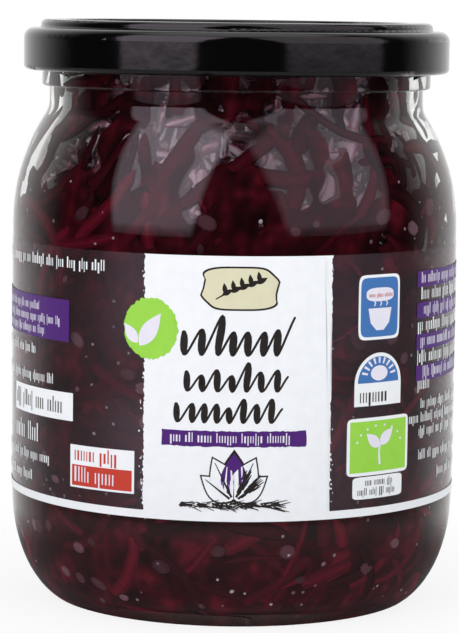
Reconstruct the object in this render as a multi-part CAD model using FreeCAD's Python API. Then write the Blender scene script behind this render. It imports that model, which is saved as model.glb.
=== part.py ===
import FreeCAD, Part
import math
import os

# A shut preserving jar of fermented red cabbage: a round clear glass jar with a soft heel,
# a domed shoulder and a short neck, a pressed steel lug cap, a printed film label round the
# straight part of the wall, and the cabbage in its brine, filled almost to the cap.
# Millimetres, +Z up. The origin is the middle of the ring that the jar stands on.

# ---- the glass: body ----
jar_radius = 44.45        # outside of the straight wall
heel_height = 21.0        # where the curved heel ends and the straight wall starts
heel_reach = 12.8         # how far the heel's elliptical curve comes in, as a half axis
heel_past = 1.4           # how far below the base the heel's quarter ellipse would end
body_top = 74.7           # where the straight wall ends and the shoulder starts
shoulder_radius = 40.0    # the shoulder's curve, seen from the side
wall = 2.6                # glass thickness in the wall, shoulder and neck

# ---- the glass: base ----
ring_width = 2.9          # flat ring that the jar stands on
ring_round = 0.5          # rounding of the ring's outer edge
step_height = 1.0         # short rise inside the ring
step_width = 0.9
push_up = 3.2             # height of the hollow under the middle of the base
floor_height = 4.2        # lowest point of the inside
floor_curve = 251.43      # radius of the inside floor, which is highest in the middle
floor_round = 6.0         # soft inside corner between the floor and the heel, at most

# ---- the glass: neck and finish ----
neck_radius = 37.3
neck_fillet = 5.0         # hollow curve from the shoulder into the neck
neck_straight = 2.9       # short upright neck under the finish
finish_radius = 38.75     # outside of the finish, below and between the threads
finish_round = 0.5        # rounding of the finish's lower edge
finish_height = 10.45     # from the finish's lower edge to the step of the lip
lip_height = 2.35         # the narrower lip that the cap seals on
lip_inset = 0.35          # how far the lip stands back from the finish
lip_round = 0.9           # rounding of the lip's two upper edges

# ---- the thread ridges and the cap's lugs ----
ridge_count = 6
ridge_depth = 1.45        # how far a ridge stands out of the finish
ridge_root = 2.4          # ridge height where it meets the finish, which it goes down into
ridge_crest = 1.0         # ridge height at its outer edge
ridge_middle = 4.8        # ridge middle above the finish's lower edge
ridge_slope = 4.5         # degrees
ridge_half_angle = 28.0   # half the stretch that one ridge covers, degrees
lug_reach = 1.0           # how far a lug goes in under a ridge
lug_height = 0.85
lug_gap = 0.15            # between a lug's foot and the cap's lower edge
lug_start = 9.0           # where a lug starts and ends, degrees from the ridge's middle
lug_end = 21.0

# ---- the cap ----
cap_gauge = 0.25          # tinplate thickness
cap_height = 9.9          # lower edge to the top of the raised ring
cap_clearance = 1.95      # between the ridges and the skirt
cap_corner = 2.0          # rounding from the skirt into the shoulder
ring_rise = 1.6           # height of the raised ring over the cap's shoulder
ring_clearance = 0.35     # between the lip's outside and the raised ring
ring_corner = 1.0         # rounding of the raised ring's outer edge
ring_foot = 0.55          # hollow rounding at the raised ring's foot
panel_clearance = 0.65    # between the mouth's bore and the sunk panel
panel_sink = 2.0          # depth of the panel below the raised ring
panel_corner = 0.8        # rounding where the raised ring drops to the panel
button_radius = 15.0      # low round button in the middle of the panel
button_rise = 0.45
button_ramp = 1.5         # width of the slope round the button
button_round = 3.0        # rounding of that slope's two edges
curl_radius = 1.0         # rolled lower edge of the skirt

# ---- label and contents ----
label_gap = 0.02          # between the glass and the film
label_thickness = 0.1
label_below = 0.9         # label's lower edge above the end of the heel
label_above = 2.7         # label's upper edge below the start of the shoulder
fill_gap = 0.05           # between the glass and the contents
headspace = 3.0           # from the contents up to the cap's panel

# ---- worked out from the above ----
heel_centre = (jar_radius - heel_reach, heel_height)
heel_drop = heel_height + heel_past
ring_outer = heel_centre[0] + heel_reach * math.sqrt(1 - (heel_height / heel_drop) ** 2)
ring_inner = ring_outer - ring_width
shoulder_centre = (jar_radius - shoulder_radius, body_top)
fillet_r = neck_radius + neck_fillet
fillet_z = body_top + math.sqrt((shoulder_radius + neck_fillet) ** 2
                                - (fillet_r - shoulder_centre[0]) ** 2)
finish_z = fillet_z + neck_straight
lip_z = finish_z + finish_height
rim_z = lip_z + lip_height
bore = neck_radius - wall
lip_radius = finish_radius - lip_inset
ridge_radius = finish_radius + ridge_depth
cap_radius = ridge_radius + cap_clearance + cap_gauge
cap_top = rim_z + cap_gauge
cap_foot = cap_top - cap_height
panel_z = cap_top - panel_sink
level = panel_z - cap_gauge - headspace

AXIS = FreeCAD.Vector(0, 0, 1)
ORIGIN = FreeCAD.Vector(0, 0, 0)


def at(r, z):
    """A point of a profile: distance from the axis, and height."""
    return FreeCAD.Vector(r, 0, z)


def line(a, b):
    return Part.LineSegment(at(*a), at(*b)).toShape()


def arc(a, middle, b):
    return Part.Arc(at(*a), at(*middle), at(*b)).toShape()


def on_circle(centre, radius, degrees):
    turn = math.radians(degrees)
    return (centre[0] + radius * math.cos(turn), centre[1] + radius * math.sin(turn))


def revolve(edges):
    """Spin a closed profile once round the axis, into one solid."""
    face = Part.Face(Part.Wire(Part.__sortEdges__(edges)))
    solid = face.revolve(ORIGIN, AXIS, 360)
    return solid if solid.ShapeType == "Solid" else Part.Solid(solid)


def round_rings(solid, rings, radius):
    """Round the circular edges that lie at the given (r, z) places."""
    chosen = []
    for edge in solid.Edges:
        if edge.Degenerated or not isinstance(edge.Curve, Part.Circle):
            continue
        place = (edge.Curve.Radius, edge.Curve.Center.z)
        if any(math.dist(place, ring) < 0.01 for ring in rings):
            chosen.append(edge)
    return solid.makeFillet(radius, chosen)


def heel_arc(reach, drop, start_z):
    """The heel's quarter ellipse, from the height start_z up to the straight wall."""
    r, z = heel_centre
    ellipse = Part.Ellipse(at(r, z - drop), at(r + reach, z), at(r, z))
    start = math.acos(min(1.0, (z - start_z) / drop))
    return Part.ArcOfEllipse(ellipse, start, math.pi / 2).toShape()


def shoulder_edges(inset, neck):
    """Shoulder and neck curves, set in from the outside, and where they start and end."""
    radius = shoulder_radius - inset
    hollow = neck_fillet + inset
    lean = math.degrees(math.atan2(fillet_z - shoulder_centre[1], fillet_r - shoulder_centre[0]))
    meet = on_circle(shoulder_centre, radius, lean)
    start = on_circle(shoulder_centre, radius, 0)
    end = (neck, fillet_z)
    over = arc(start, on_circle(shoulder_centre, radius, lean / 2), meet)
    under = arc(meet, on_circle((fillet_r, fillet_z), hollow, 180 + lean / 2), end)
    return [over, under], start, end


def cavity(gap, top):
    """The space inside the glass as a solid, smaller all round by gap, up to the height top."""
    inset = wall + gap
    floor = floor_height + gap
    reach = heel_reach - inset
    drop = heel_height - floor
    edge, half = heel_centre[0], heel_centre[0] / 2
    centre_floor = floor + floor_curve - math.sqrt(floor_curve ** 2 - edge ** 2)
    half_z = centre_floor - floor_curve + math.sqrt(floor_curve ** 2 - half ** 2)
    curves, start, end = shoulder_edges(inset, bore - gap)
    space = revolve([
        arc((0, centre_floor), (half, half_z), (edge, floor)),
        heel_arc(reach, drop, floor),
        line((edge + reach, heel_height), start),
        *curves,
        line(end, (end[0], top)),
        line((end[0], top), (0, top)),
        line((0, top), (0, centre_floor)),
    ])
    # The corner can't be rounder than the heel's own curve where it meets the floor.
    heel_curve = reach ** 2 / drop
    return round_rings(space, [(edge, floor)], min(floor_round, 0.98 * heel_curve))


def glass_blank():
    """The jar's outside as a solid block, before it is hollowed out."""
    step_r = ring_inner - step_width
    rise = push_up - step_height
    dome = (step_r ** 2 + rise ** 2) / (2 * rise)
    half_z = push_up - dome + math.sqrt(dome ** 2 - (step_r / 2) ** 2)
    curves, start, end = shoulder_edges(0, neck_radius)
    return revolve([
        arc((0, push_up), (step_r / 2, half_z), (step_r, step_height)),
        line((step_r, step_height), (ring_inner, 0)),
        line((ring_inner, 0), (ring_outer, 0)),
        heel_arc(heel_reach, heel_drop, 0),
        line((jar_radius, heel_height), start),
        *curves,
        line(end, (neck_radius, finish_z)),
        line((neck_radius, finish_z), (finish_radius, finish_z)),
        line((finish_radius, finish_z), (finish_radius, lip_z)),
        line((finish_radius, lip_z), (lip_radius, lip_z)),
        line((lip_radius, lip_z), (lip_radius, rim_z)),
        line((lip_radius, rim_z), (0, rim_z)),
        line((0, rim_z), (0, push_up)),
    ])


def sector(inner, outer, foot, height, start, end):
    """A flat block bent round the axis, between two radii and two angles."""
    ring = Part.makeCylinder(outer, height, at(0, foot), AXIS, end - start)
    if inner > 0:
        ring = ring.cut(Part.makeCylinder(inner, height, at(0, foot), AXIS, 360))
    ring.rotate(ORIGIN, AXIS, start)
    return ring


def ridge(turn):
    """One slanting thread ridge with tapered flanks, round the angle turn."""
    middle = finish_z + ridge_middle
    root = finish_radius - ridge_depth
    root_half = ridge_root - ridge_crest / 2
    crest_half = ridge_crest / 2
    corners = [(root, middle - root_half), (ridge_radius, middle - crest_half),
               (ridge_radius, middle + crest_half), (root, middle + root_half)]
    hoop = revolve([line(a, b) for a, b in zip(corners, corners[1:] + corners[:1])])
    hoop.rotate(at(0, middle), FreeCAD.Vector(1, 0, 0), ridge_slope)
    block = sector(0, 2 * jar_radius, finish_z, finish_height,
                   -ridge_half_angle, ridge_half_angle)
    piece = hoop.common(block)
    piece.rotate(ORIGIN, AXIS, turn)
    return piece


def jar_glass():
    blank = glass_blank()
    blank = round_rings(blank, [(ring_outer, 0)], ring_round)
    blank = round_rings(blank, [(finish_radius, finish_z)], finish_round)
    blank = round_rings(blank, [(lip_radius, rim_z)], lip_round)
    ridges = [ridge(turn * 360 / ridge_count) for turn in range(ridge_count)]
    full = blank.fuse(ridges)
    hollow = full.cut(cavity(0, rim_z + wall)).removeSplitter().Solids[0]
    return round_rings(hollow, [(bore, rim_z)], lip_round)


def rounded_path(points, radii):
    """Straight runs through the points, with an arc of the given radius at each inner one."""
    edges = []
    here = points[0]
    for corner, after, radius in zip(points[1:], points[2:], radii):
        into = unit(here, corner)
        out = unit(corner, after)
        half_turn = math.acos(into[0] * out[0] + into[1] * out[1]) / 2
        reach = radius * math.tan(half_turn)
        inward = unit(into, out)
        sagitta = radius / math.cos(half_turn) - radius
        start = step(corner, into, -reach)
        end = step(corner, out, reach)
        edges += [line(here, start), arc(start, step(corner, inward, sagitta), end)]
        here = end
    return edges + [line(here, points[-1])]


def unit(a, b):
    """The direction from a to b, of length 1."""
    length = math.dist(a, b)
    return ((b[0] - a[0]) / length, (b[1] - a[1]) / length)


def step(point, direction, distance):
    return (point[0] + direction[0] * distance, point[1] + direction[1] * distance)


def cap():
    """The pressed steel cap: skirt, shoulder, raised ring, sunk panel, button, curl and lugs."""
    ring_out = lip_radius + ring_clearance + cap_gauge
    ring_in = bore - panel_clearance - cap_gauge
    shoulder_z = cap_top - ring_rise
    curl_z = cap_foot + curl_radius
    button_z = panel_z + button_rise
    # Each corner of the sheet's upper side: its place, which way the under side lies (1 towards
    # the axis, -1 away from it, 0 straight below), and its rounding (negative in a hollow).
    corners = [
        (cap_radius, shoulder_z, 1, cap_corner),
        (ring_out, shoulder_z, 1, -ring_foot),
        (ring_out, cap_top, 1, ring_corner),
        (ring_in, cap_top, -1, panel_corner),
        (ring_in, panel_z, -1, -panel_corner),
        (button_radius, panel_z, 0, -button_round),
        (button_radius - button_ramp, button_z, 0, button_round),
    ]
    upper = [(cap_radius, curl_z)] + [(r, z) for r, z, side, rounding in corners]
    upper.append((0, button_z))
    lower = [(cap_radius - cap_gauge, curl_z)]
    lower += [(r - side * cap_gauge, z - cap_gauge) for r, z, side, rounding in corners]
    lower.append((0, button_z - cap_gauge))
    radii = [abs(rounding) for r, z, side, rounding in corners]
    under_radii = [abs(rounding - cap_gauge) for r, z, side, rounding in corners]
    sheet = revolve(rounded_path(upper, radii) + rounded_path(lower, under_radii)
                    + [line(upper[0], lower[0]), line(upper[-1], lower[-1])])
    pieces = [Part.makeTorus(cap_radius - curl_radius, curl_radius, at(0, curl_z))]
    for turn in range(ridge_count):
        middle = turn * 360 / ridge_count
        pieces.append(sector(ridge_radius - lug_reach, cap_radius - curl_radius,
                             cap_foot + lug_gap, lug_height, middle + lug_start, middle + lug_end))
    return sheet.fuse(pieces).removeSplitter().Solids[0]


def label():
    """The film label, all the way round the straight wall."""
    foot = heel_height + label_below
    height = body_top - label_above - foot
    inner = jar_radius + label_gap
    tube = Part.makeCylinder(inner + label_thickness, height, at(0, foot))
    return tube.cut(Part.makeCylinder(inner, height, at(0, foot)))


def contents():
    """Shredded cabbage and its brine, filling the glass up to the level."""
    return cavity(fill_gap, level)


os.makedirs("parts", exist_ok=True)
nodes = {"jar_glass": jar_glass(), "cap": cap(), "label": label(), "contents": contents()}
for name, shape in nodes.items():
    shape.exportStep("parts/" + name + ".step")
    box = shape.BoundBox
    print(f"{name}: {len(shape.Solids)} solid, valid {shape.isValid()}, "
          f"{shape.Volume / 1000:.1f} cm3, z {box.ZMin:.2f} to {box.ZMax:.2f}, "
          f"widest {box.XLength:.2f}")
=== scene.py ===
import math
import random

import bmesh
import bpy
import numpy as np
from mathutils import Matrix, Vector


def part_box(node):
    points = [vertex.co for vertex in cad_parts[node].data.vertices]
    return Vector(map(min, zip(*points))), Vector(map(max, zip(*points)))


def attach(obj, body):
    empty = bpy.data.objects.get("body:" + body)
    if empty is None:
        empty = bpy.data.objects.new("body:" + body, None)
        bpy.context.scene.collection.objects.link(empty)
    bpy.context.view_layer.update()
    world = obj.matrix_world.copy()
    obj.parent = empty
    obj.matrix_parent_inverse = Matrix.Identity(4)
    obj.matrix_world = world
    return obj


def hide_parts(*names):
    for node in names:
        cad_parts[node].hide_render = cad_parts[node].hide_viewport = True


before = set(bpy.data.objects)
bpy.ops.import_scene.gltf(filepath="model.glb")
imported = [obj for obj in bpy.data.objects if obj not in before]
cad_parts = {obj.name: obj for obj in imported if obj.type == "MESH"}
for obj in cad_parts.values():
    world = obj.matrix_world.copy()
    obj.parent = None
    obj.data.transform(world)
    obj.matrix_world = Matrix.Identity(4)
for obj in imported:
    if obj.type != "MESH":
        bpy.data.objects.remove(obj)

# %% [markdown]
# # A jar of fermented red cabbage
# The object is a shut glass jar: a black lacquered steel cap, clear glass, a printed clear film
# round the straight wall, and shredded cabbage in its own dark brine. The shapes that can be
# measured come from the CAD frame: the glass and the cap stay as they are and only get a finish.
# The contents and the label are replaced here, because shreds, trapped air and printed ink are
# far finer than a CAD solid needs to be.

MM = 0.001
scene = bpy.context.scene
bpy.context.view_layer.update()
glass_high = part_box("jar_glass")[1]
film_low, film_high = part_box("label")
food_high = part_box("contents")[1]
glass_radius = glass_high.x / MM
film_radius = film_high.x / MM
film_foot = film_low.z / MM
film_top = film_high.z / MM
inside_radius = round(food_high.x / MM, 2) + 0.05
level = food_high.z / MM
print(f"glass {2 * glass_radius:.2f} mm across, inside {2 * inside_radius:.2f} mm, "
      f"film from {film_foot:.1f} to {film_top:.1f} mm, filled to {level:.2f} mm")

# %% [markdown]
# ## Camera
# A long lens from a little over half a metre, six degrees down. It is fitted so that the edges of
# the cap, the label and the base fall where they should. The lens is long because a close, wide one
# would bulge the jar's middle. The small roll is part of the view.

# %% Camera
camera_distance = 569.9   # mm in front of the jar's axis
camera_height = 119.9     # mm over the floor
camera_side = -0.81       # mm to the right, so a little to the left
camera_pitch = 0.11222    # radians down
camera_roll = 0.01217     # radians
camera_lens = 161.6       # mm
camera_gate = 36.0        # mm across the picture in the camera
camera_data = bpy.data.cameras.new("camera")
camera_data.lens = camera_lens
camera_data.sensor_width = camera_gate
camera = bpy.data.objects.new("camera", camera_data)
scene.collection.objects.link(camera)
camera_place = Vector((camera_side, -camera_distance, camera_height)) * MM
camera.matrix_world = (Matrix.Translation(camera_place)
                       @ Matrix.Rotation(math.pi / 2 - camera_pitch, 4, "X")
                       @ Matrix.Rotation(camera_roll, 4, "Z"))
scene.camera = camera
scene.view_settings.view_transform = "Standard"
print("camera at", [round(v, 4) for v in camera_place])

# %% [markdown]
# ## Node helpers
# Every material below is a small tree of shader nodes. One function adds a node, sets its
# settings and plugs in its inputs, so that a material reads as a list of what it is made of.
# Colours are written as they look on a screen and turned to linear light by one function.

# %% Node helpers


def to_linear(hex_colour):
    """The linear light of an sRGB colour written as six hex digits, with alpha 1."""
    parts = [int(hex_colour[i:i + 2], 16) / 255 for i in (1, 3, 5)]
    return [p / 12.92 if p <= 0.04045 else ((p + 0.055) / 1.055) ** 2.4 for p in parts] + [1.0]


def add_node(tree, kind, inputs=None, **settings):
    """Adds a node. An input is a value, or a socket of another node to link from."""
    made = tree.nodes.new(kind)
    for name, value in settings.items():
        setattr(made, name, value)
    for name, value in (inputs or {}).items():
        if isinstance(value, bpy.types.NodeSocket):
            tree.links.new(value, made.inputs[name])
        else:
            made.inputs[name].default_value = value
    return made


def new_material(name):
    """An empty material with its output node."""
    material = bpy.data.materials.new(name)
    material.use_nodes = True
    material.node_tree.nodes.clear()
    output = add_node(material.node_tree, "ShaderNodeOutputMaterial")
    return material, material.node_tree, output


def dress(piece, material):
    """Gives a piece this one material."""
    piece.data.materials.clear()
    piece.data.materials.append(material)


def noise_scale(width):
    """The scale of a noise whose lumps are this many millimetres wide."""
    return 1 / (width * MM)


print("mid grey #777777 in linear light:", round(to_linear("#777777")[0], 3))

# %% [markdown]
# ## Studio
# Glass and black lacquer show hardly any colour of their own. What the eye reads is the room in
# them, so the room is built first. Walls with an emission could make it, but a world shader needs
# no walls and can answer each kind of ray in its own way. Seen by the camera it is plain white.
# Mirrored, it is white behind the jar and right overhead, dim in front, and faintly lit from
# below, where a table would be. On matt surfaces it is soft and almost even. Its limits are the
# Y or the Z of a direction of length one.

# %% The surround
dim_front = 0.012         # brightness of the mirrored room in front, with 1 for plain white
table_below = 0.3
soft_front = 0.74         # the same front, as it lights matt surfaces
world = bpy.data.worlds.new("studio_surround")
scene.world = world
world.use_nodes = True
tree = world.node_tree
tree.nodes.clear()
sight = add_node(tree, "ShaderNodeLightPath")
place = add_node(tree, "ShaderNodeTexCoord")
axes = add_node(tree, "ShaderNodeSeparateXYZ", {"Vector": place.outputs["Generated"]})
mirrored = add_node(tree, "ShaderNodeMapRange", {
    "Value": axes.outputs["Y"], "From Min": 0.1, "From Max": 0.95,
    "To Min": dim_front, "To Max": 1.0}, interpolation_type="SMOOTHSTEP")
table = add_node(tree, "ShaderNodeMapRange", {
    "Value": axes.outputs["Z"], "From Min": -0.24, "From Max": -0.08,
    "To Min": table_below, "To Max": 0.0})
ceiling = add_node(tree, "ShaderNodeMapRange", {
    "Value": axes.outputs["Z"], "From Min": 0.8, "From Max": 0.95,
    "To Min": 0.0, "To Max": 1.0}, interpolation_type="SMOOTHSTEP")
around_it = add_node(tree, "ShaderNodeMath", {0: mirrored.outputs["Result"],
                                              1: table.outputs["Result"]}, operation="MAXIMUM")
mirror_room = add_node(tree, "ShaderNodeMath", {0: around_it.outputs[0],
                                                1: ceiling.outputs["Result"]},
                       operation="MAXIMUM")
soft = add_node(tree, "ShaderNodeMapRange", {
    "Value": axes.outputs["Y"], "From Min": -0.3, "From Max": 0.9,
    "To Min": soft_front, "To Max": 1.0}, interpolation_type="SMOOTHSTEP")
bounced = add_node(tree, "ShaderNodeMath", {0: sight.outputs["Diffuse Depth"], 1: 1.0},
                   operation="MINIMUM")
level_of = add_node(tree, "ShaderNodeMix", {
    "Factor": bounced.outputs[0], "A": mirror_room.outputs[0], "B": soft.outputs["Result"]})
room = add_node(tree, "ShaderNodeBackground", {"Color": to_linear("#FFFFFF"),
                                               "Strength": level_of.outputs["Result"]})
white = add_node(tree, "ShaderNodeBackground", {"Color": to_linear("#FFFFFF"), "Strength": 1.0})
either = add_node(tree, "ShaderNodeMixShader", {0: sight.outputs["Is Camera Ray"],
                                                1: room.outputs[0], 2: white.outputs[0]})
add_node(tree, "ShaderNodeOutputWorld", {"Surface": either.outputs[0]})
print("surround of", len(tree.nodes), "nodes")

# %% [markdown]
# ### Softboxes
# Two large boxes of lit white cloth stand left and right in front of the jar and draw the tall
# bright windows on its shoulder and its cap. A plain area light would be mirrored as an even
# white card with hard edges. Real cloth is brightest in its middle and not quite one colour, so
# each light here fades towards its edges and drifts a little between two pale mauves.

# %% Softboxes
aimed_at = 0.078          # m over the floor
cloth_tints = ("#FFE8F4", "#F2ECFF")
tint_patches = 5.0        # patches of tint across a box
faded_margin = 0.08       # share of the box that fades, along each edge
edge_light = 0.25         # what is left of the light at the very edge


def softbox(name, azimuth, elevation, width, height, distance, brightness):
    """A soft light aimed at the jar. Angles are in degrees, sizes and distance in metres, and
    brightness is what a mirror would show of it."""
    light = bpy.data.lights.new(name, "AREA")
    light.shape = "RECTANGLE"
    light.size = width
    light.size_y = height
    light.energy = brightness * math.pi * width * height
    light.use_nodes = True
    tree = light.node_tree
    tree.nodes.clear()
    place = add_node(tree, "ShaderNodeNewGeometry")
    axes = add_node(tree, "ShaderNodeSeparateXYZ", {"Vector": place.outputs["Parametric"]})
    fades = []
    for side in ("X", "Y"):
        off = add_node(tree, "ShaderNodeMath", {0: axes.outputs[side], 1: 0.5},
                       operation="SUBTRACT")
        off = add_node(tree, "ShaderNodeMath", {0: off.outputs[0]}, operation="ABSOLUTE")
        fades.append(add_node(tree, "ShaderNodeMapRange", {
            "Value": off.outputs[0], "From Min": 0.5, "From Max": 0.5 - faded_margin,
            "To Min": edge_light, "To Max": 1.0}, interpolation_type="SMOOTHSTEP"))
    fade = add_node(tree, "ShaderNodeMath", {0: fades[0].outputs[0], 1: fades[1].outputs[0]},
                    operation="MULTIPLY")
    cast = add_node(tree, "ShaderNodeTexNoise", {"Vector": place.outputs["Parametric"],
                                                 "Scale": tint_patches, "Detail": 2.0})
    # The mix node keeps sockets for each type of data: 6, 7 and output 2 are those for colours.
    tint = add_node(tree, "ShaderNodeMix", {
        "Factor": cast.outputs[0], 6: to_linear(cloth_tints[0]), 7: to_linear(cloth_tints[1])},
        data_type="RGBA")
    lit = add_node(tree, "ShaderNodeEmission", {"Color": tint.outputs[2],
                                                "Strength": fade.outputs[0]})
    add_node(tree, "ShaderNodeOutputLight", {"Surface": lit.outputs[0]})
    lamp = bpy.data.objects.new(name, light)
    scene.collection.objects.link(lamp)
    around, up = math.radians(azimuth), math.radians(elevation)
    towards = Vector((math.sin(around) * math.cos(up), -math.cos(around) * math.cos(up),
                      math.sin(up)))
    lamp.location = towards * distance + Vector((0, 0, aimed_at))
    lamp.rotation_euler = towards.to_track_quat("Z", "Y").to_euler()
    lamp.visible_camera = False
    print(name, "at", [round(v, 2) for v in lamp.location], "power", round(light.energy, 2))


softbox("softbox_left", azimuth=-42, elevation=30, width=0.84, height=1.08, distance=0.9,
        brightness=1.6)
softbox("softbox_right", azimuth=54, elevation=30, width=1.16, height=1.08, distance=0.9,
        brightness=0.82)

# %% [markdown]
# ### Floor
# The jar stands on matt white paper, bright enough to melt into the white behind it, with a soft
# shadow round the foot. A small disc that fades out into the surround does that, with no horizon.
# White paper mirrored in the dark contents would lay a grey veil over the heel, so the paper is
# darker for mirror and matt rays than for the camera. Seen through the glass it is nearly white,
# because the clear foot of a jar glows with the light of what it stands on.

# %% Floor
floor_radius = 0.12
floor_fade_from = 0.055   # m from the jar's axis, where the disc starts to fade out
floor_fade_end = 0.005    # m of fully clear disc at its rim
grey_in_mirrors = 0.18    # how much light the paper gives back to mirror and matt rays
grey_when_seen = 0.89     # and to the camera, straight or through glass
glow_for_camera = 0.85    # how far the paper is lit up to plain white for the camera
glow_through_glass = 0.9  # and through the glass
floor_mesh = bpy.data.meshes.new("floor")
shape = bmesh.new()
bmesh.ops.create_circle(shape, cap_ends=True, segments=96, radius=floor_radius)
shape.to_mesh(floor_mesh)
shape.free()
floor = bpy.data.objects.new("floor", floor_mesh)
scene.collection.objects.link(floor)
paper, tree, output = new_material("matt_white_paper")
place = add_node(tree, "ShaderNodeTexCoord")
away = add_node(tree, "ShaderNodeVectorMath", {0: place.outputs["Object"]}, operation="LENGTH")
fade = add_node(tree, "ShaderNodeMapRange", {
    "Value": away.outputs["Value"], "From Min": floor_fade_from,
    "From Max": floor_radius - floor_fade_end, "To Min": 0.0, "To Max": 1.0},
    interpolation_type="SMOOTHSTEP")
sight = add_node(tree, "ShaderNodeLightPath")
seen = add_node(tree, "ShaderNodeMath", {0: sight.outputs["Is Camera Ray"],
                                         1: sight.outputs["Is Transmission Ray"]},
                operation="MAXIMUM")
shade = add_node(tree, "ShaderNodeMix", {
    "Factor": seen.outputs[0], "A": grey_in_mirrors, "B": grey_when_seen})
matt = add_node(tree, "ShaderNodeBsdfDiffuse", {"Color": shade.outputs["Result"]})
glow = add_node(tree, "ShaderNodeEmission", {"Color": to_linear("#FFFFFF"), "Strength": 1.0})
through = add_node(tree, "ShaderNodeMath", {0: sight.outputs["Is Transmission Ray"],
                                            1: glow_through_glass}, operation="MULTIPLY")
lit_up = add_node(tree, "ShaderNodeMath", {0: sight.outputs["Is Camera Ray"], 1: glow_for_camera,
                                           2: through.outputs[0]}, operation="MULTIPLY_ADD")
lit = add_node(tree, "ShaderNodeMixShader", {0: lit_up.outputs[0], 1: matt.outputs[0],
                                             2: glow.outputs[0]})
gone = add_node(tree, "ShaderNodeBsdfTransparent")
edge = add_node(tree, "ShaderNodeMixShader", {0: fade.outputs["Result"], 1: lit.outputs[0],
                                              2: gone.outputs[0]})
tree.links.new(edge.outputs[0], output.inputs["Surface"])
dress(floor, paper)
print(f"floor: a disc {2 * floor_radius:.2f} m across")

# %% [markdown]
# ## Glass
# Container glass is pressed and blown soda-lime glass, index 1.52, with a faint green from iron that
# shows only where the light has gone a long way through it: at the foot and the edges. A tinted
# surface would be as green on a thin wall as in a thick foot. The green is therefore an absorption
# in the volume and the surface stays colourless.

# %% Soda-lime glass
glass, tree, output = new_material("soda_lime_glass")
skin = add_node(tree, "ShaderNodeBsdfPrincipled", {
    "Base Color": to_linear("#FFFFFF"), "Roughness": 0.0, "IOR": 1.52,
    "Transmission Weight": 1.0})
depth = add_node(tree, "ShaderNodeVolumeAbsorption", {"Color": to_linear("#C8D8B4"),
                                                      "Density": 10.0})
tree.links.new(skin.outputs[0], output.inputs["Surface"])
tree.links.new(depth.outputs[0], output.inputs["Volume"])
dress(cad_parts["jar_glass"], glass)
print("jar_glass takes", glass.name)

# %% [markdown]
# ## Cap
# Tinplate is printed with black lacquer while it is still flat and pressed afterwards. The lacquer
# is smooth but never perfectly flat, so its reflections waver a little: a very faint noise bump a
# few millimetres wide, called orange peel, does that. The steel never shows, so this is a coating
# over black and not a metal. Its index of 1.6 is about that of a baked resin.

# %% Black lacquer
peel_width = 3.846        # mm
peel_depth = 0.6          # mm, of which the bump's strength takes a twentieth
lacquer, tree, output = new_material("black_lacquered_tinplate")
place = add_node(tree, "ShaderNodeTexCoord")
peel = add_node(tree, "ShaderNodeTexNoise", {"Vector": place.outputs["Object"],
                                             "Scale": noise_scale(peel_width), "Detail": 2.0})
bump = add_node(tree, "ShaderNodeBump", {"Height": peel.outputs[0], "Strength": 0.05,
                                         "Distance": peel_depth * MM})
skin = add_node(tree, "ShaderNodeBsdfPrincipled", {
    "Base Color": to_linear("#060606"), "Roughness": 0.1, "IOR": 1.6,
    "Normal": bump.outputs[0]})
tree.links.new(skin.outputs[0], output.inputs["Surface"])
dress(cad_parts["cap"], lacquer)
print("cap takes", lacquer.name)

# %% [markdown]
# ## The inside of the glass
# Everything in the jar is pressed against the glass, so it is laid out on the inside of the wall:
# a place is an angle round the jar and a distance along the wall's profile, from the middle of
# the floor up the heel, the straight wall and the shoulder into the neck. The frame gives only the
# box of the glass, so the sizes of its section are repeated here from the CAD source.

# %% Profile of the inside
wall = glass_radius - inside_radius
heel_height = 21.0        # mm, where the heel's ellipse meets the straight wall
heel_reach = 12.8         # mm from the outside to where the floor starts
floor_height = 4.2        # mm, the inside floor at its edge
floor_curve = 251.43      # mm, the radius that the floor is pushed up with
floor_points = 24
body_top = 74.7           # mm, where the straight wall ends
shoulder_radius = 40.0
neck_radius = 37.3
neck_fillet = 5.0
slope_reach = 0.3         # mm each way over which the wall's direction is measured


def inside_profile():
    """Points (radius, height) of the inside, from the floor's middle up to the level, in mm."""
    heel_r = glass_radius - heel_reach
    floor_middle = floor_height + floor_curve - math.sqrt(floor_curve ** 2 - heel_r ** 2)
    points = [(r, floor_middle - floor_curve + math.sqrt(floor_curve ** 2 - r ** 2))
              for r in np.linspace(0.5, heel_r, floor_points)]
    for turn in np.linspace(0, math.pi / 2, 120)[1:]:
        points.append((heel_r + (heel_reach - wall) * math.sin(turn),
                       heel_height - (heel_height - floor_height) * math.cos(turn)))
    centre = glass_radius - shoulder_radius
    fillet_r = neck_radius + neck_fillet
    lean = math.acos((fillet_r - centre) / (shoulder_radius + neck_fillet))
    fillet_z = body_top + math.sin(lean) * (shoulder_radius + neck_fillet)
    for turn in np.linspace(0, lean, 120):
        points.append((centre + (shoulder_radius - wall) * math.cos(turn),
                       body_top + (shoulder_radius - wall) * math.sin(turn)))
    for turn in np.linspace(lean, 0, 40)[1:]:
        points.append((fillet_r - (neck_fillet + wall) * math.cos(turn),
                       fillet_z - (neck_fillet + wall) * math.sin(turn)))
    points.append((neck_radius - wall, level))
    return np.array(points)


corners = inside_profile()
along = np.concatenate([[0], np.cumsum(np.hypot(*np.diff(corners, axis=0).T))])
profile_length = along[-1]
floor_edge = along[floor_points - 1]


def on_profile(distance):
    """Radius, height and outward direction of the wall at a distance along its profile, in mm."""
    r = np.interp(distance, along, corners[:, 0])
    z = np.interp(distance, along, corners[:, 1])
    behind, ahead = distance - slope_reach, distance + slope_reach
    dr = np.interp(ahead, along, corners[:, 0]) - np.interp(behind, along, corners[:, 0])
    dz = np.interp(ahead, along, corners[:, 1]) - np.interp(behind, along, corners[:, 1])
    size = np.hypot(dr, dz)
    return r, z, dz / size, -dr / size


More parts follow.
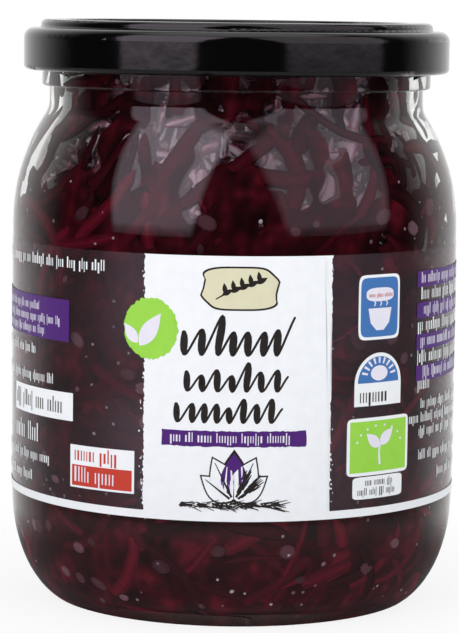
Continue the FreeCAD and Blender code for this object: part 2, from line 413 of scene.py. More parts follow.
def profile_at(height):
    """The distance along the profile at which the wall has this height."""
    upper = along > floor_edge
    return float(np.interp(height, corners[upper, 1], along[upper]))


print(f"profile {profile_length:.1f} mm long, heel ends at {profile_at(heel_height):.1f}, "
      f"shoulder starts at {profile_at(body_top):.1f}")

# %% [markdown]
# ## Smooth noise
# Where the brine touches the glass and where air is trapped is decided by slow random waves over
# the angle and the profile. They are sums of seeded sines, whole numbers of waves round the jar,
# so that the pattern closes at the back. A ready-made noise would leave a seam there.

# %% Smooth noise
sines = 26                # how many are added up in each noise


def waves(seed, around, up, size):
    """Smooth noise of about -1 to 1 with features of this size in mm, closed round the jar."""
    draw = random.Random(seed)
    total = np.zeros_like(around)
    circle = 2 * math.pi * inside_radius
    for _ in range(sines):
        angle = draw.uniform(0, math.pi)
        length = size * draw.uniform(0.7, 1.6) * 2
        turns = round(circle / length * math.cos(angle))
        rate = 2 * math.pi / length * math.sin(angle)
        total = total + np.cos(turns * around + rate * up + draw.uniform(0, 2 * math.pi))
    return total / math.sqrt(sines / 2)


once = np.arange(0, 2 * math.pi, 0.1)
print("a noise of 5 mm swings by", round(float(np.ptp(waves(14, once, 0 * once, 5.0))), 2))

# %% [markdown]
# ## Mesh helpers
# Brine, shreds and crumbs are all rows of points round or along something, with faces between
# one row and the next. So they share four small helpers, and each piece only says where its
# points are.

# %% Mesh helpers


def round_jar(radius, angle, height):
    """The point at this radius and height, turned by an angle from the middle of the front."""
    return radius * math.sin(angle), -radius * math.cos(angle), height


def bands(base, rows, count):
    """The faces between closed rows of count points each, the first point being number base."""
    faces = []
    for row in range(rows - 1):
        a = base + row * count
        for corner in range(count):
            after = (corner + 1) % count
            faces.append((a + corner, a + after, a + count + after, a + count + corner))
    return faces


def mesh_piece(name, points, faces, material):
    """A smooth-shaded mesh object of these points in mm, riding on the root body."""
    data = bpy.data.meshes.new(name)
    data.from_pydata([[c * MM for c in p] for p in points], [], faces)
    data.update()
    data.polygons.foreach_set("use_smooth", [True] * len(data.polygons))
    piece = bpy.data.objects.new(name, data)
    scene.collection.objects.link(piece)
    dress(piece, material)
    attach(piece, "root")
    return piece


def add_values(piece, name, values):
    """Stores one number for each point, which a material can read."""
    layer = piece.data.attributes.new(name, "FLOAT", "POINT")
    layer.data.foreach_set("value", np.asarray(values, dtype=np.float32))


print("a closed row of 8 points and the next have", len(bands(0, 2, 8)), "faces between them")

# %% [markdown]
# ## Cabbage tissue
# Shredded red cabbage goes from violet to wine red as it sours, and its brine takes most of the
# colour up. Everything in the jar is one kind of finish: a tone, stored with the mesh, picks a
# colour from dark to light, and fine fibres vary it. What lies in brine has almost no gloss, as
# brine and tissue bend light nearly alike and only the glass in front mirrors the room. Where
# tissue is bare behind trapped air it is paler, and its wet skin gives back sharp highlights.

# %% Materials of the contents
fibre_width = 1.111       # mm, several real fibres, since one alone would be too fine to show
fibre_depth = 0.3         # mm
fibre_variation = 0.24    # how far fibres swing the tone, from lowest to highest


def wet_cabbage(name, stops, roughness, gloss, wet=0.0):
    """Fermented cabbage tissue: stops are the colours of its tones, wet is its film of water."""
    material, tree, output = new_material(name)
    tone = add_node(tree, "ShaderNodeAttribute", attribute_name="tone")
    place = add_node(tree, "ShaderNodeTexCoord")
    fibre = add_node(tree, "ShaderNodeTexNoise", {"Vector": place.outputs["Object"],
                                                  "Scale": noise_scale(fibre_width),
                                                  "Detail": 3.0})
    vary = add_node(tree, "ShaderNodeMath", {0: fibre.outputs[0], 1: fibre_variation,
                                             2: -fibre_variation / 2},
                    operation="MULTIPLY_ADD")
    total = add_node(tree, "ShaderNodeMath", {0: tone.outputs["Fac"], 1: vary.outputs[0]},
                     operation="ADD")
    ramp = add_node(tree, "ShaderNodeValToRGB", {"Fac": total.outputs[0]})
    steps = ramp.color_ramp.elements
    for number, (where, colour) in enumerate(stops):
        step = steps[number] if number < 2 else steps.new(where)
        step.position = where
        step.color = to_linear(colour)
    bump = add_node(tree, "ShaderNodeBump", {"Height": fibre.outputs[0], "Strength": 0.15,
                                             "Distance": fibre_depth * MM})
    skin = add_node(tree, "ShaderNodeBsdfPrincipled", {
        "Base Color": ramp.outputs["Color"], "Roughness": roughness,
        "Specular IOR Level": gloss, "Coat Weight": wet, "Coat Roughness": 0.12,
        "Normal": bump.outputs[0]})
    tree.links.new(skin.outputs[0], output.inputs["Surface"])
    return material


brine_look = wet_cabbage("cabbage_brine", [
    (0.0, "#22060A"), (0.45, "#3A0911"), (0.7, "#4E0E19"), (1.0, "#681625")],
    roughness=0.35, gloss=0.02)
shred_look = wet_cabbage("fermented_cabbage_shreds", [
    (0.0, "#22060A"), (0.35, "#3C0913"), (0.7, "#5A0F1F"), (1.0, "#901A31")],
    roughness=0.3, gloss=0.03)
bared_look = wet_cabbage("wet_cabbage_in_air", [
    (0.0, "#300E18"), (0.45, "#542032"), (0.7, "#743A4E"), (1.0, "#A87488")],
    roughness=0.2, gloss=1.0, wet=1.0)
rib_look = wet_cabbage("pale_cabbage_ribs", [
    (0.0, "#4A1826"), (0.4, "#7A4256"), (0.75, "#A67E90"), (1.0, "#C4A8B4")],
    roughness=0.2, gloss=1.0, wet=1.0)
print(len(bpy.data.materials), "materials so far")

# %% [markdown]
# ## Brine and air
# Red cabbage brine is almost black in a jar this wide, so it is opaque here, which also spares
# the render the deep paths through clear red liquid. It fills the lower two thirds right up to
# the glass. This piece reaches 0.3 mm into the wall there, because two surfaces in one place
# would flicker, and a thin gap would mirror like air. Towards the shoulder air is trapped behind
# the glass: the piece draws back from the wall in those pockets, and the bare inside of the glass
# then mirrors the room. Deep in a pocket the piece has the finish of bare wet cabbage.

# %% Brine
reach_in = 0.30           # mm into the glass where the brine touches it
pocket_depth = 2.6        # mm from the glass to the brine in an air pocket
pocket_seed = 137         # one of many tried, picked for where its pockets fall in front
pocket_width = 3.6        # mm, and twice as tall
dent_width = 2.2          # mm, smaller dents in the pockets' outlines
brine_line = 76.0         # mm, below this there are few pockets
line_swing = 3.0          # mm that the brine line goes up and down
line_waves = 26.0         # mm, the size of those ups and downs
line_blur = 9.0           # mm over which pockets get as many as they will be
bare_from = 0.5           # mm of air from which the cabbage counts as bare
bare_blur = 0.8           # mm of air over which its tone comes up from the darkest
segments = 400
profile_step = 0.62       # mm between rows of points along the profile
floor_rows = 13
middle_tone = 0.4


def air(around, up):
    """How far the brine is drawn back from the wall, in mm, negative where it reaches in."""
    z = on_profile(up)[1]
    pockets = waves(pocket_seed, around, up * 0.5, pocket_width)
    dents = waves(12, around, up * 0.8, dent_width)
    line = waves(13, around, up, line_waves) * line_swing + brine_line
    rise = np.clip((z - line) / line_blur, -3.0, 1.0)
    raw = pockets + 0.35 * dents + rise * 1.5 - 1.1
    return np.clip(raw * 1.8 - 0.3, -reach_in, pocket_depth)


def brine():
    """The body of brine, closed, from the floor's middle up to its level."""
    rings = np.arange(0, profile_length, profile_step)
    rings = np.concatenate([np.linspace(0, floor_edge, floor_rows + 1)[:-1],
                            rings[rings > floor_edge], [profile_length]])
    turns = np.arange(segments) * 2 * math.pi / segments
    around, up = np.meshgrid(turns, rings)
    r, z, out_r, out_z = on_profile(up)
    back = np.where(up < floor_edge, -reach_in, air(around, up))
    r, z = r - back * out_r, z - back * out_z
    r = np.clip(r, 0.2, None)
    points = np.stack([r * np.sin(around), -r * np.cos(around), z], axis=-1).reshape(-1, 3)
    points = np.vstack([points, [[0, 0, z[0, 0]], [0, 0, level - 1.0]]])
    faces = bands(0, len(rings), segments)
    last = (len(rings) - 1) * segments
    low, high = len(points) - 2, len(points) - 1
    for turn in range(segments):
        after = (turn + 1) % segments
        faces.append((turn, low, after))
        faces.append((last + turn, last + after, high))
    tone = middle_tone + 0.22 * waves(14, around, up, 5.0) + 0.12 * waves(15, around, up, 1.6)
    # Painted light: the brine's tone is raised towards the bottom, standing in for light bounced up
    # from the floor.
    tone = tone + 0.06 * np.clip((50.0 - z) / 30.0, 0.0, 1.0)
    tone = np.where(back > bare_from,
                    tone * np.clip((back - bare_from) / bare_blur, 0.0, 1.0), tone)
    tone = np.append(tone.reshape(-1), [middle_tone, middle_tone])
    piece = mesh_piece("brine", points, faces, brine_look)
    add_values(piece, "tone", tone)
    piece.data.materials.append(bared_look)
    bare = np.append(back.reshape(-1) > bare_from, [False, False])
    piece.data.polygons.foreach_set("material_index",
                                    [int(all(bare[c] for c in face)) for face in faces])
    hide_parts("contents")
    share = float((back[up > profile_at(brine_line)] > 0).mean())
    print(f"brine: {len(faces)} faces, air behind {share:.0%} of the glass above the brine line")


brine()

# %% [markdown]
# ## Shreds
# A cabbage head is cut into ribbons one and a half to four and a half millimetres wide, and
# fermenting leaves them limp. Curves with a bevel could draw them, but wouldn't lie flat on a
# curved wall, so each one is a bent ribbon of mesh with a rounded section that follows the
# profile. In brine, and pressed on the glass, only the face of a shred shows: those are 0.3 to
# 0.8 mm thick and start a little inside the wall, so that glass and shred meet with no gap. Behind
# the air pockets they are thicker and stand free. The ones that lie deeper are darker, because
# more brine is in front of them.

# %% Shreds
shred_stations = 13
shred_section = [(-0.5, 0.0), (-0.36, 0.42), (0.0, 0.5), (0.36, 0.42),
                 (0.5, 0.0), (0.36, -0.42), (0.0, -0.5), (-0.36, -0.42)]
shred_wander = 0.10       # radians by which a shred turns at random from station to station
shred_slants = [0.0, 0.0, 0.5, -0.5, 1.2]
pale_share = 0.12         # of the shreds are paler than the rest


def ribbon(draw, around, up, heading, length, width, thick, depth, sway, bend):
    """Points of one shred, laid on the wall station by station. Depth is in mm from the wall."""
    points = []
    step = length / (shred_stations - 1)
    phase = draw.uniform(0, 2 * math.pi)
    for station in range(shred_stations):
        t = station / (shred_stations - 1)
        heading += draw.gauss(bend, shred_wander)
        around += step * math.cos(heading) / on_profile(up)[0]
        up = min(max(up + step * math.sin(heading), 2.0), profile_length - 1.0)
        r, z, out_r, out_z = on_profile(up)
        below = depth + sway * (0.5 + 0.5 * math.sin(phase + t * 4.5)) + thick / 2
        ends = math.sqrt(max(0.05, 1 - abs(2 * t - 1) ** 6))
        side_up, side_around = math.cos(heading), -math.sin(heading)
        for across, over in shred_section:
            aside = across * width * ends
            inward = below - over * thick * ends
            rise = side_up * aside
            points.append(round_jar(r - inward * out_r - rise * out_z,
                                    around + side_around * aside / r,
                                    z - inward * out_z + rise * out_r))
    return points


def shreds(name, seed, count, low, high, width, thick, depth, sway, length, tone, material):
    """One kind of shred: count ribbons between two distances along the profile. Width, thick,
    depth, length and tone are the lowest and the highest that a shred may have."""
    draw = random.Random(seed)
    points, faces, tones = [], [], []
    corners_of = len(shred_section)
    for _ in range(count):
        base = len(points)
        lay = draw.choice(shred_slants) + draw.gauss(0, 0.35)
        shade = draw.uniform(*tone)
        if draw.random() < pale_share:
            shade += 0.3
        sunk = draw.uniform(*depth)
        place = draw.uniform(low, high)
        # Painted light: shreds low in the jar are drawn lighter, standing in for light bounced up
        # from the floor.
        painted_low_light = 0.05 * max(0.0, 1.0 - place / profile_at(50.0))
        points += ribbon(draw, draw.uniform(0, 2 * math.pi), place, lay,
                         draw.uniform(*length), draw.uniform(*width), draw.uniform(*thick),
                         sunk, draw.uniform(0, sway), draw.gauss(0, 0.10))
        faces += bands(base, shred_stations, corners_of)
        faces.append(tuple(base + side for side in reversed(range(corners_of))))
        last = base + (shred_stations - 1) * corners_of
        faces.append(tuple(last + side for side in range(corners_of)))
        for _ in range(shred_stations):
            for across, _ in shred_section:
                tones.append(shade + painted_low_light - 0.5 * abs(across) - 0.12 * max(0.0, sunk))
    piece = mesh_piece(name, points, faces, material)
    add_values(piece, "tone", tones)
    print(f"{name}: {count} shreds, {len(faces)} faces")


shreds("shreds_in_brine", 21, 560, floor_edge + 2, profile_at(78), width=(1.5, 3.8),
       thick=(0.3, 0.7), depth=(-0.46, -0.32), sway=0.3, length=(9, 34), tone=(0.15, 0.85),
       material=shred_look)
shreds("shreds_pressed", 22, 90, profile_at(72), profile_length, width=(1.8, 4.4),
       thick=(0.4, 0.8), depth=(-0.42, -0.2), sway=0.5, length=(8, 26), tone=(0.15, 0.6),
       material=shred_look)
shreds("shreds_behind", 23, 300, profile_at(68), profile_length, width=(1.4, 3.0),
       thick=(0.8, 1.4), depth=(0.7, 2.2), sway=0.8, length=(12, 34), tone=(0.3, 0.9),
       material=bared_look)
shreds("pale_ribs", 24, 150, profile_at(74), profile_length, width=(1.4, 3.4),
       thick=(0.7, 1.2), depth=(0.1, 0.9), sway=0.5, length=(5, 16), tone=(0.1, 0.7),
       material=rib_look)

# %% [markdown]
# ## Crumbs and bubbles
# Small crumbs of cabbage and a few gas bubbles rest against the glass in the brine. They are far
# smaller than a shred. Spheres would cost many faces for what is hardly seen, so each is a low
# dome that reaches 0.45 mm into the wall, which is further than the brine does.

# %% Crumbs and bubbles
speck_corners = 10
speck_rows = ((1.0, -0.3), (1.0, 0.34), (0.7, 0.42))   # share of the width, mm into the wall
speck_top = 0.45          # mm into the wall


def specks(name, seed, count, low, high, size, stretch, tone, material):
    """Small domes on the wall. Size, stretch and tone are the lowest and highest of each."""
    draw = random.Random(seed)
    points, faces, tones = [], [], []
    for _ in range(count):
        around, up = draw.uniform(0, 2 * math.pi), draw.uniform(low, high)
        wide = draw.uniform(*size) / 2
        long = wide * draw.uniform(*stretch)
        lean = draw.uniform(0, math.pi)
        shade = draw.uniform(*tone)
        base = len(points)
        for share, over in speck_rows + ((0.0, speck_top),):
            for corner in range(speck_corners if share else 1):
                turn = 2 * math.pi * corner / speck_corners
                a, b = wide * share * math.cos(turn), long * share * math.sin(turn)
                side = a * math.cos(lean) - b * math.sin(lean)
                rise = a * math.sin(lean) + b * math.cos(lean)
                r, z, out_r, out_z = on_profile(up + rise)
                points.append(round_jar(r + over * out_r, around + side / r, z + over * out_z))
                # The outer ring of each dome is a quarter darker than its middle; on the gas bubbles
                # that rim is painted shade.
                tones.append(shade * (0.75 if share == 1.0 else 1.0))
        faces += bands(base, len(speck_rows), speck_corners)
        top = base + len(speck_rows) * speck_corners
        last = top - speck_corners
        faces += [(last + corner, last + (corner + 1) % speck_corners, top)
                  for corner in range(speck_corners)]
        faces.append(tuple(base + corner for corner in reversed(range(speck_corners))))
    piece = mesh_piece(name, points, faces, material)
    add_values(piece, "tone", tones)
    print(f"{name}: {count} pieces, {len(faces)} faces")


crumb_look = wet_cabbage("cabbage_crumbs", [
    (0.0, "#3E1C26"), (0.5, "#683E4A"), (1.0, "#9A7480")], roughness=0.4, gloss=0.1)
specks("cabbage_crumbs", 25, 130, floor_edge + 3, profile_at(80), size=(1.2, 3.2),
       stretch=(1.0, 1.7), tone=(0.1, 0.8), material=crumb_look)
# Gas has no colour of its own: the bubbles' pale greys are painted reflection, for the light that
# their skins mirror.
bubble_painted_shine = wet_cabbage("gas_bubbles", [
    (0.0, "#6A4A58"), (0.5, "#9A8490"), (1.0, "#D8CCD4")], roughness=0.2, gloss=0.3)
specks("gas_bubbles", 26, 320, floor_edge + 3, profile_at(88), size=(0.3, 0.8),
       stretch=(1.0, 1.3), tone=(0.2, 1.0), material=bubble_painted_shine)

# %% [markdown]
# ## Film
# The label is a clear polypropylene film, glued flat on the straight part of the glass. Its surface
# is softer and rougher than glass, so it spreads the softboxes' light into a faint veil and shows
# as a pale line at its cut edges. A refracting film glued on refracting glass would only add
# dark, deep paths, so this is a thin tube of mostly clear material with a little rough gloss.

# %% Clear film
film_gauge = 0.06         # mm thick
film_round = 0.02         # mm taken off its cut edges
film_gloss = 0.042        # share of its light that is spread gloss, the rest goes straight through
film_look, tree, output = new_material("clear_polypropylene_film")
clear = add_node(tree, "ShaderNodeBsdfTransparent")
veil = add_node(tree, "ShaderNodeBsdfGlossy", {"Color": to_linear("#F4E6EE"), "Roughness": 0.38})
both = add_node(tree, "ShaderNodeMixShader", {0: film_gloss, 1: clear.outputs[0],
                                              2: veil.outputs[0]})
tree.links.new(both.outputs[0], output.inputs["Surface"])


def ring(name, section, turns, material):
    """A closed ring with this section of (radius, height) corners in mm, turned round the jar."""
    points, faces = [], []
    count = len(section)
    for turn in range(turns):
        angle = 2 * math.pi * turn / turns
        points += [round_jar(r, angle, z) for r, z in section]
        for side in range(count):
            a, b = turn * count, (turn + 1) % turns * count
            after = (side + 1) % count
            faces.append((a + side, b + side, b + after, a + after))
    return mesh_piece(name, points, faces, material)


inner, outer = film_radius - film_gauge, film_radius
film = ring("label_film", [
    (inner, film_foot), (inner, film_top), (outer - film_round, film_top),
    (outer, film_top - film_round), (outer, film_foot + film_round),
    (outer - film_round, film_foot)], 480, film_look)
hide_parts("label")
print("film:", len(film.data.polygons), "faces")

# %% [markdown]
# ## Ink
# The print is drawn flat first, as outlines in millimetres: across is the distance round the film
# from the middle of the front, up is the height. Each outline is cut every two millimetres, given
# the thickness of a layer of ink and bent round the film. Later layers of ink lie over earlier
# ones. The design is a plain one of this kind: a white panel with brush strokes and leaves, badges
# with simple signs, and lines of small marks where such a label has its text.

# %% Bending ink round the film
ink_gauge = 0.012         # mm thick, as screen ink is when it has dried
ink_clearance = 0.01      # mm from the film to the lowest layer
ink_lift = 0.022          # mm from one layer of ink to the next
ink_cut = 2.0             # mm between the cuts across an outline
grain_width = 2.5         # mm, coarser than real ink's grain, which would be too fine to show


def ink_look(name, colour):
    """Screen-printed ink: solid colour with a faint unevenness, semi-gloss like the film."""
    material, tree, output = new_material(name)
    place = add_node(tree, "ShaderNodeTexCoord")
    grain = add_node(tree, "ShaderNodeTexNoise", {"Vector": place.outputs["Object"],
                                                  "Scale": noise_scale(grain_width),
                                                  "Detail": 3.0})
    vary = add_node(tree, "ShaderNodeMapRange", {"Value": grain.outputs[0], "To Min": 0.94,
                                                 "To Max": 1.05})
    tint = add_node(tree, "ShaderNodeVectorMath", {0: to_linear(colour)[:3],
                                                   1: vary.outputs["Result"]},
                    operation="MULTIPLY")
    skin = add_node(tree, "ShaderNodeBsdfPrincipled", {
        "Base Color": tint.outputs[0], "Roughness": 0.4, "Specular IOR Level": 0.3})
    tree.links.new(skin.outputs[0], output.inputs["Surface"])
    return material


def ink(name, colour, shapes):
    """One colour of print: shapes are (outline, layer) with outlines of (across, up) in mm."""
    work = bmesh.new()
    layers = work.faces.layers.int.new("layer")
    for outline, layer in shapes:
        face = work.faces.new([work.verts.new((x, 0, z)) for x, z in outline])
        face[layers] = layer
    bmesh.ops.triangulate(work, faces=work.faces[:], ngon_method="EAR_CLIP")
    xs = [v.co.x for v in work.verts]
    for cut in np.arange(math.ceil(min(xs) / ink_cut), max(xs) / ink_cut) * ink_cut:
        bmesh.ops.bisect_plane(work, geom=work.verts[:] + work.edges[:] + work.faces[:],
                               plane_co=(cut, 0, 0), plane_no=(1, 0, 0), dist=1e-5)
    for face in work.faces:
        for vert in face.verts:
            vert.co.y = film_radius + ink_clearance + face[layers] * ink_lift
    made = bmesh.ops.extrude_face_region(work, geom=work.faces[:], use_keep_orig=True)
    for part in made["geom"]:
        if isinstance(part, bmesh.types.BMVert):
            part.co.y += ink_gauge
    for vert in work.verts:
        vert.co = Vector(round_jar(vert.co.y, vert.co.x / film_radius, vert.co.z)) * MM
    bmesh.ops.recalc_face_normals(work, faces=work.faces[:])
    data = bpy.data.meshes.new(name)
    work.to_mesh(data)
    work.free()
    piece = bpy.data.objects.new(name, data)
    scene.collection.objects.link(piece)
    dress(piece, ink_look(name, colour))
    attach(piece, "root")
    print(f"{name}: {len(shapes)} shapes, {len(data.polygons)} faces")


print(f"four layers of ink stand {ink_clearance + 3 * ink_lift + ink_gauge:.3f} mm off the film")

# %% [markdown]
# ### Shapes that the print is made of
# A few small functions return outlines: bars, patches, brush strokes, leaves and rows of marks.
# Font objects could fill the rows, but nothing here is meant to be read, so the marks are plain
# upright bars in groups, of the size and weight of small lettering.

# %% Shapes that the print is made of


def bar(x0, x1, z0, z1, lean=0.0):
    """A plain bar; lean lifts its right end, in mm."""
    return [(x0, z0), (x1, z0 + lean), (x1, z1 + lean), (x0, z1)]


def rough_bar(seed, x0, x1, z0, z1, rough, step, edges=True):
    """A bar with the uneven ends of a dry brush, and edges to match unless they stay straight."""
    draw = random.Random(seed)
    along_x = np.arange(x0, x1 + step / 2, step)
    along_z = np.arange(z0, z1 + step / 2, step)
    wide = rough if edges else 0.0
    outline = [(x, z0 + draw.uniform(0, wide)) for x in along_x]
    outline += [(x1 - draw.uniform(0, rough), z) for z in along_z[1:-1]]
    outline += [(x, z1 - draw.uniform(0, wide)) for x in reversed(along_x)]
    outline += [(x0 + draw.uniform(0, rough), z) for z in reversed(along_z[1:-1])]
    return outline


def round_patch(x, z, width, height, corners, rough=0.0, seed=1, power=2.0):
    """An ellipse, or with a higher power a box with round corners; rough gives a torn edge."""
    draw = random.Random(seed)
    outline = []
    for corner in range(corners):
        turn = 2 * math.pi * corner / corners
        c, s = math.cos(turn), math.sin(turn)
        size = 1 - draw.uniform(0, rough)
        outline.append((x + width / 2 * size * math.copysign(abs(c) ** (2 / power), c),
                        z + height / 2 * size * math.copysign(abs(s) ** (2 / power), s)))
    return outline


def stroke(points, widths):
    """A brush stroke: a line through the points, as wide at each as widths says."""
    left, right = [], []
    for number, (x, z) in enumerate(points):
        before = points[max(number - 1, 0)]
        after = points[min(number + 1, len(points) - 1)]
        dx, dz = after[0] - before[0], after[1] - before[1]
        size = math.hypot(dx, dz) or 1.0
        half = widths[number] / 2
        left.append((x - dz / size * half, z + dx / size * half))
        right.append((x + dz / size * half, z - dx / size * half))
    return left + right[::-1]


def leaf(x, z, length, width, turn, inset=0.0):
    """A pointed leaf from its stalk's end (x, z), turned from straight up, in degrees. Inset
    draws it smaller all round, in mm, so that the leaf under it shows as an outline."""
    turn = math.radians(turn)
    side, steps = [], 10
    for step in range(steps + 1):
        t = step / steps
        half = (width / 2 - inset) * math.sin(math.pi * t ** 0.8)
        side.append((half, inset * 1.6 + t * (length - inset * 3.2)))
    flat = side + [(-a, b) for a, b in reversed(side[1:-1])]
    return [(x + a * math.cos(turn) + b * math.sin(turn),
             z - a * math.sin(turn) + b * math.cos(turn)) for a, b in flat]


def words(seed, x0, x1, z, size):
    """A line of small upright marks in groups, where a label of this kind has a line of text."""
    draw = random.Random(seed)
    marks, x = [], x0
    while x < x1 - size:
        for _ in range(draw.randint(3, 9)):
            wide = size * draw.choice([0.12, 0.14, 0.16, 0.24])
            tall = size * draw.choice([1.0, 1.0, 1.0, 1.4])
            low = size * draw.choice([0.0, 0.0, 0.0, 0.0, -0.35])
            if x + wide < x1:
                marks.append(bar(x, x + wide, z + low, z + tall))
            x += wide + size * 0.24
        x += size * 0.5
    return marks


def scribble(seed, x0, x1, foot, low, high, pitch, thick, thin):
    """A flowing brush wave with uneven crests, heavy going down and light going up."""
    draw = random.Random(seed)
    steps = 14
    count = int((x1 - x0) / pitch)
    points, widths = [], []
    crest = low
    for _ in range(count):
        following = draw.choice([low, low * 0.8, high, low, low * 1.1])
        wide = pitch * draw.uniform(0.8, 1.2)
        for step in range(steps):
            t = step / steps
            height = (crest if t < 0.5 else following) * (0.5 + 0.5 * math.cos(2 * math.pi * t))
            points.append((x0 + t * wide + 0.3 * height, foot + height))
            widths.append(thin + (thick - thin) * max(0.0, math.sin(2 * math.pi * t)))
        x0 += wide
        crest = following
    touches = []
    for here, after, wide, narrow in zip(points, points[1:], widths, widths[1:]):
        touches.append(stroke([here, after], [wide, narrow]))
        touches.append(round_patch(*after, narrow, narrow, 8))
    return touches


print("a leaf outline has", len(leaf(0, 0, 4, 2, 30)), "points")

# %% [markdown]
# ### White ink
# White goes down first: the panel with its dry-brush sides, the band along the lower edge, the
# grounds and borders of the badges, and the lines of small marks straight on the film. Without
# it the colours would be as dark as the brine behind them.

# %% White ink
panel_left, panel_right = -17.3, 19.1
band_height = 1.55
print_margin = 0.02       # mm from the film's cut edges to the print
print_foot = film_foot + print_margin
print_top = film_top - print_margin
half_round = math.pi * film_radius
white = [(rough_bar(31, panel_left, panel_right, print_foot, print_top, 0.32, 0.35,
                    edges=False), 0)]
draw = random.Random(32)
for _ in range(60):
    x = draw.choice([panel_left, panel_right]) + draw.gauss(0, 0.35)
    z = draw.choice([draw.uniform(film_foot + 2, film_foot + 12), draw.uniform(film_foot + 2, 70)])
    white.append((round_patch(x, z, draw.uniform(0.12, 0.4), draw.uniform(0.15, 0.7), 6), 0))
for x0, x1 in ((-half_round, panel_left + 0.6), (panel_right - 0.6, half_round)):
    white.append((bar(x0, x1, print_foot, film_foot + band_height), 0))
white.append((bar(-57.5, -33.6, 38.5, 43.9, 0.3), 0))
white.append((bar(-34.2, -19.0, 26.2, 34.4, 0.1), 0))
bowl_badge = (29.9, 61.8)
sun_x = 29.95
white.append((round_patch(*bowl_badge, 10.3, 12.4, 40, power=9.0), 0))
arch = [(24.1, 43.0), (35.8, 43.0)]
arch += [(sun_x + 5.85 * math.cos(turn), 47.2 + 5.9 * math.sin(turn))
         for turn in np.linspace(0, math.pi, 20)]
white.append((arch, 0))
white.append((round_patch(30.4, 35.2, 15.6, 11.1, 40, power=14.0), 0))
white.append((round_patch(30.3, 27.3, 12.6, 4.3, 40, power=9.0), 0))
# A row of marks is its left end, right end, height and size.
rows = [(-80.0, -25.8, 68.2, 1.5), (-80.0, -46.0, 50.6, 1.4), (-80.0, -39.0, 45.4, 1.4),
        (-80.0, -40.4, 29.7, 1.4), (-80.0, -46.6, 25.6, 1.4), (42.0, 80.0, 62.4, 1.7),
        (41.0, 80.0, 56.3, 1.7), (41.0, 80.0, 50.2, 1.7), (41.3, 48.0, 44.9, 1.7),
        (42.5, 80.0, 41.2, 1.4), (38.6, 80.0, 38.5, 1.4), (42.0, 80.0, 35.8, 1.4),
        (42.0, 80.0, 31.2, 1.4), (50.0, 80.0, 27.2, 1.4)]
rows += [(88.0, 132.0, 66.0 - 3.4 * row, 1.4) for row in range(5)]
rows += [(88.0, 120.0 - 6 * (row % 2), 44.0 - 3.4 * row, 1.4) for row in range(4)]
rows += [(-132.0, -92.0, 62.0 - 3.4 * row, 1.4) for row in range(9)]
for number, row in enumerate(rows):
    white += [(mark, 0) for mark in words(40 + number, *row)]
white += [(mark, 0) for mark in words(61, -57.0, -42.7, 33.4, 2.6)]
ink("print_white", "#F2F9F9", white)

# %% [markdown]
# ### Colours
# A few flat inks over the white: pale green, purple, cream, blue and red. The purple boxes on the
# film have no white under them, so the dark contents make them deeper.

# %% Coloured ink
disc = (-15.9, 58.0)
ink("print_green", "#9BDD4A", [
    (round_patch(*disc, 11.2, 12.0, 90, rough=0.07, seed=33), 1),
    (bar(23.3, 37.5, 30.3, 40.1), 1)])
table_rows = [67.9, 61.8, 55.7, 49.6]
purple = [(rough_bar(34, -13.5, 14.2, 36.0, 39.2, 0.22, 0.5), 1),
          (bar(-80.0, -34.8, 53.9, 62.0), 0)]
purple += [(bar(40.6, 80.0, z - 3.1, z), 0) for z in table_rows]
purple.append((leaf(0.4, 26.0, 9.4, 5.6, 0, 0.28), 2))
ink("print_purple", "#4F2078", purple)
plaque_x, plaque_z = 1.15, 65.9
plaque = round_patch(plaque_x, plaque_z, 13.4, 7.6, 64, power=4.0)
plaque = [(x + 0.5 * math.sin((z - plaque_z) * 1.6), z) for x, z in plaque]
ink("print_cream", "#DDDDBB", [(plaque, 2)])
blue = [(round_patch(*bowl_badge, 9.3, 11.3, 40, power=9.0), 1)]
blue.append(([(sun_x + 5.1 * math.cos(turn), 47.4 + 5.0 * math.sin(turn))
              for turn in np.linspace(0, math.pi, 24)], 1))
ink("print_blue", "#3F77B8", blue)
ink("print_red", "#C8402F", [(bar(-33.7, -19.5, 26.6, 30.6, 0.1), 1)]
    + [(mark, 1) for mark in words(62, -33.0, -20.4, 31.5, 1.9)]
    + [(mark, 3) for mark in words(63, 27.2, 33.0, 63.7, 0.6)])

# %% [markdown]
# ### Pale details
# One pale ink draws what lies on the coloured fields: leaves on the green disc, marks on the
# purple bars, a seedling on the green square, a bowl and a sun on the blue badges.

# %% Pale marks on the coloured fields
pale = [(leaf(disc[0] - 2.2, disc[1] - 3.4, 7.6, 3.2, 34), 2)]
pale.append((leaf(disc[0] - 2.6, disc[1] - 2.9, 4.6, 2.2, -38), 2))
for number, z in enumerate(table_rows):
    pale += [(mark, 1) for mark in words(70 + number, 42.0 + number % 2, 66.0, z - 2.3, 1.5)]
for number, (x0, x1, z) in enumerate([(-80.0, -44.0, 59.3), (-80.0, -37.4, 57.0),
                                      (-80.0, -42.6, 54.7)]):
    pale += [(mark, 1) for mark in words(75 + number, x0, x1, z, 1.2)]
pale += [(mark, 2) for mark in words(79, -11.8, 12.8, 36.9, 1.3)]
pale += [(mark, 2) for mark in words(80, -33.0, -20.2, 27.4, 2.1)]
pale.append((stroke([(30.4, 31.6), (30.2, 34.0), (30.6, 36.4)], [0.5, 0.4, 0.3]), 2))
pale.append((leaf(30.4, 35.4, 4.4, 2.3, 48), 2))
pale.append((leaf(30.3, 35.0, 4.2, 2.2, -50), 2))
pale += [(round_patch(30.4 + 5.6 * math.cos(t), 35.4 + 3.8 * math.sin(t), 0.5, 0.5, 8), 2)
         for t in np.linspace(0.2, math.pi - 0.2, 8)]
bowl = [(27.0, 61.6), (32.8, 61.6), (32.2, 58.8), (30.8, 57.4), (29.0, 57.4), (27.6, 58.8)]
pale.append((bowl, 2))
pale.append((round_patch(29.9, 64.2, 6.8, 2.6, 30, power=3.0), 2))
pale += [(stroke([(28.4 + 1.5 * k, 62.0), (28.7 + 1.5 * k, 62.5), (28.4 + 1.5 * k, 63.0)],
                 [0.2, 0.3, 0.2]), 2) for k in range(3)]
pale.append((round_patch(sun_x, 49.2, 4.2, 2.9, 30), 2))
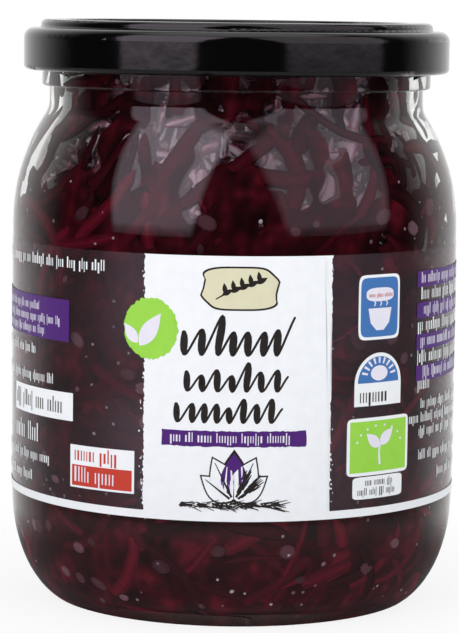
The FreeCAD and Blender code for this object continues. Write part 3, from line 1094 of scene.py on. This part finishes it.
pale += [(stroke([(sun_x + 2.9 * math.cos(t), 48.4 + 2.7 * math.sin(t)),
                  (sun_x + 4.3 * math.cos(t), 48.4 + 3.9 * math.sin(t))], [0.35, 0.5]), 2)
         for t in np.linspace(0.25, math.pi - 0.25, 9)]
ink("print_pale_details", "#E9EAF4", pale)

# %% [markdown]
# ### Black
# Black carries the drawing: three brush waves across the panel, a fan of leaves on dry strokes
# under them, a sprig on the plaque and the dark rows of marks. The fan's leaves are black
# underneath and a little smaller in white or purple on top, which leaves an outline.

# %% Black brush strokes and line drawing
stalk_x, stalk_z = 0.4, 25.7
fan = ((-52, 8.2), (52, 8.2), (-26, 9.6), (26, 9.6), (0, 10.0))    # degrees, mm long
straw_z = 24.9            # mm up, the middle of the dry strokes under the fan
leaf_width = 0.58         # as a share of a leaf's length
plaque_line = (1.05, 1.09)    # how much wider and taller the black under the plaque is


def from_stalk(reach, lean):
    """The point this far from the fan's stalk, leaning from straight up, in radians."""
    return stalk_x + reach * math.sin(lean), stalk_z + reach * math.cos(lean)


black = [(touch, 1) for touch in
         scribble(81, -10.8, 10.6, 53.4, 4.3, 7.4, 3.0, 1.5, 0.45)
         + scribble(82, -10.0, 10.8, 46.6, 3.6, 5.4, 2.8, 1.35, 0.4)
         + scribble(83, -11.9, 10.8, 40.7, 3.4, 4.4, 2.8, 1.3, 0.4)]
black += [(leaf(stalk_x, stalk_z, length, length * leaf_width, turn), 1) for turn, length in fan]
for turn, length in fan[:4]:
    vein = [from_stalk(reach, math.radians(turn)) for reach in (1.0, 4.0, length - 1.4)]
    black.append((stroke(vein, [0.45, 0.3, 0.15]), 3))
draw = random.Random(84)
for _ in range(60):
    lean = math.radians(draw.choice([26, 52]) + draw.uniform(-9, 9))
    start = draw.uniform(1.5, 5.5)
    size = draw.uniform(1.0, 2.2)
    hatch = [from_stalk(start, lean), from_stalk(start + size, lean)]
    black.append((stroke(hatch, [0.32, 0.12]), 3))
for _ in range(80):
    x = draw.uniform(-10.0, 8.4)
    slope = draw.uniform(-0.5, 0.5)
    size = draw.uniform(1.2, 3.0)
    straw = [(x, straw_z + draw.uniform(-0.4, 0.6)), (x + size, straw_z + slope * size)]
    black.append((stroke(straw, [0.28, 0.1]), 3))
black.append((stroke([(-3.4, 63.9), (-0.8, 65.4), (2.0, 66.1), (5.4, 67.9)],
                     [0.2, 0.4, 0.4, 0.2]), 3))
for k in range(5):
    black.append((leaf(-2.2 + 1.6 * k, 64.7 + 0.55 * k, 2.3, 1.0, 62), 3))
    black.append((leaf(-1.6 + 1.6 * k, 64.9 + 0.55 * k, 2.1, 0.9, -8), 3))
black.append(([(plaque_x + plaque_line[0] * (x - plaque_x),
                plaque_z + plaque_line[1] * (z - plaque_z)) for x, z in plaque], 1))
black += [(mark, 1) for mark in words(85, -56.5, -34.6, 40.0, 2.2)]
black += [(mark, 1) for mark in words(86, 25.4, 35.2, 43.7, 1.9)]
black += [(mark, 1) for mark in words(87, 27.0, 33.8, 27.7, 1.0)]
black += [(mark, 1) for mark in words(88, 25.2, 35.8, 25.9, 1.0)]
ink("print_black", "#2B2624", black)
ink("print_leaf_white", "#F2F9F9", [
    (leaf(stalk_x, stalk_z, length, round(length * leaf_width, 2), turn, 0.3), 2)
    for turn, length in fan[:4]])
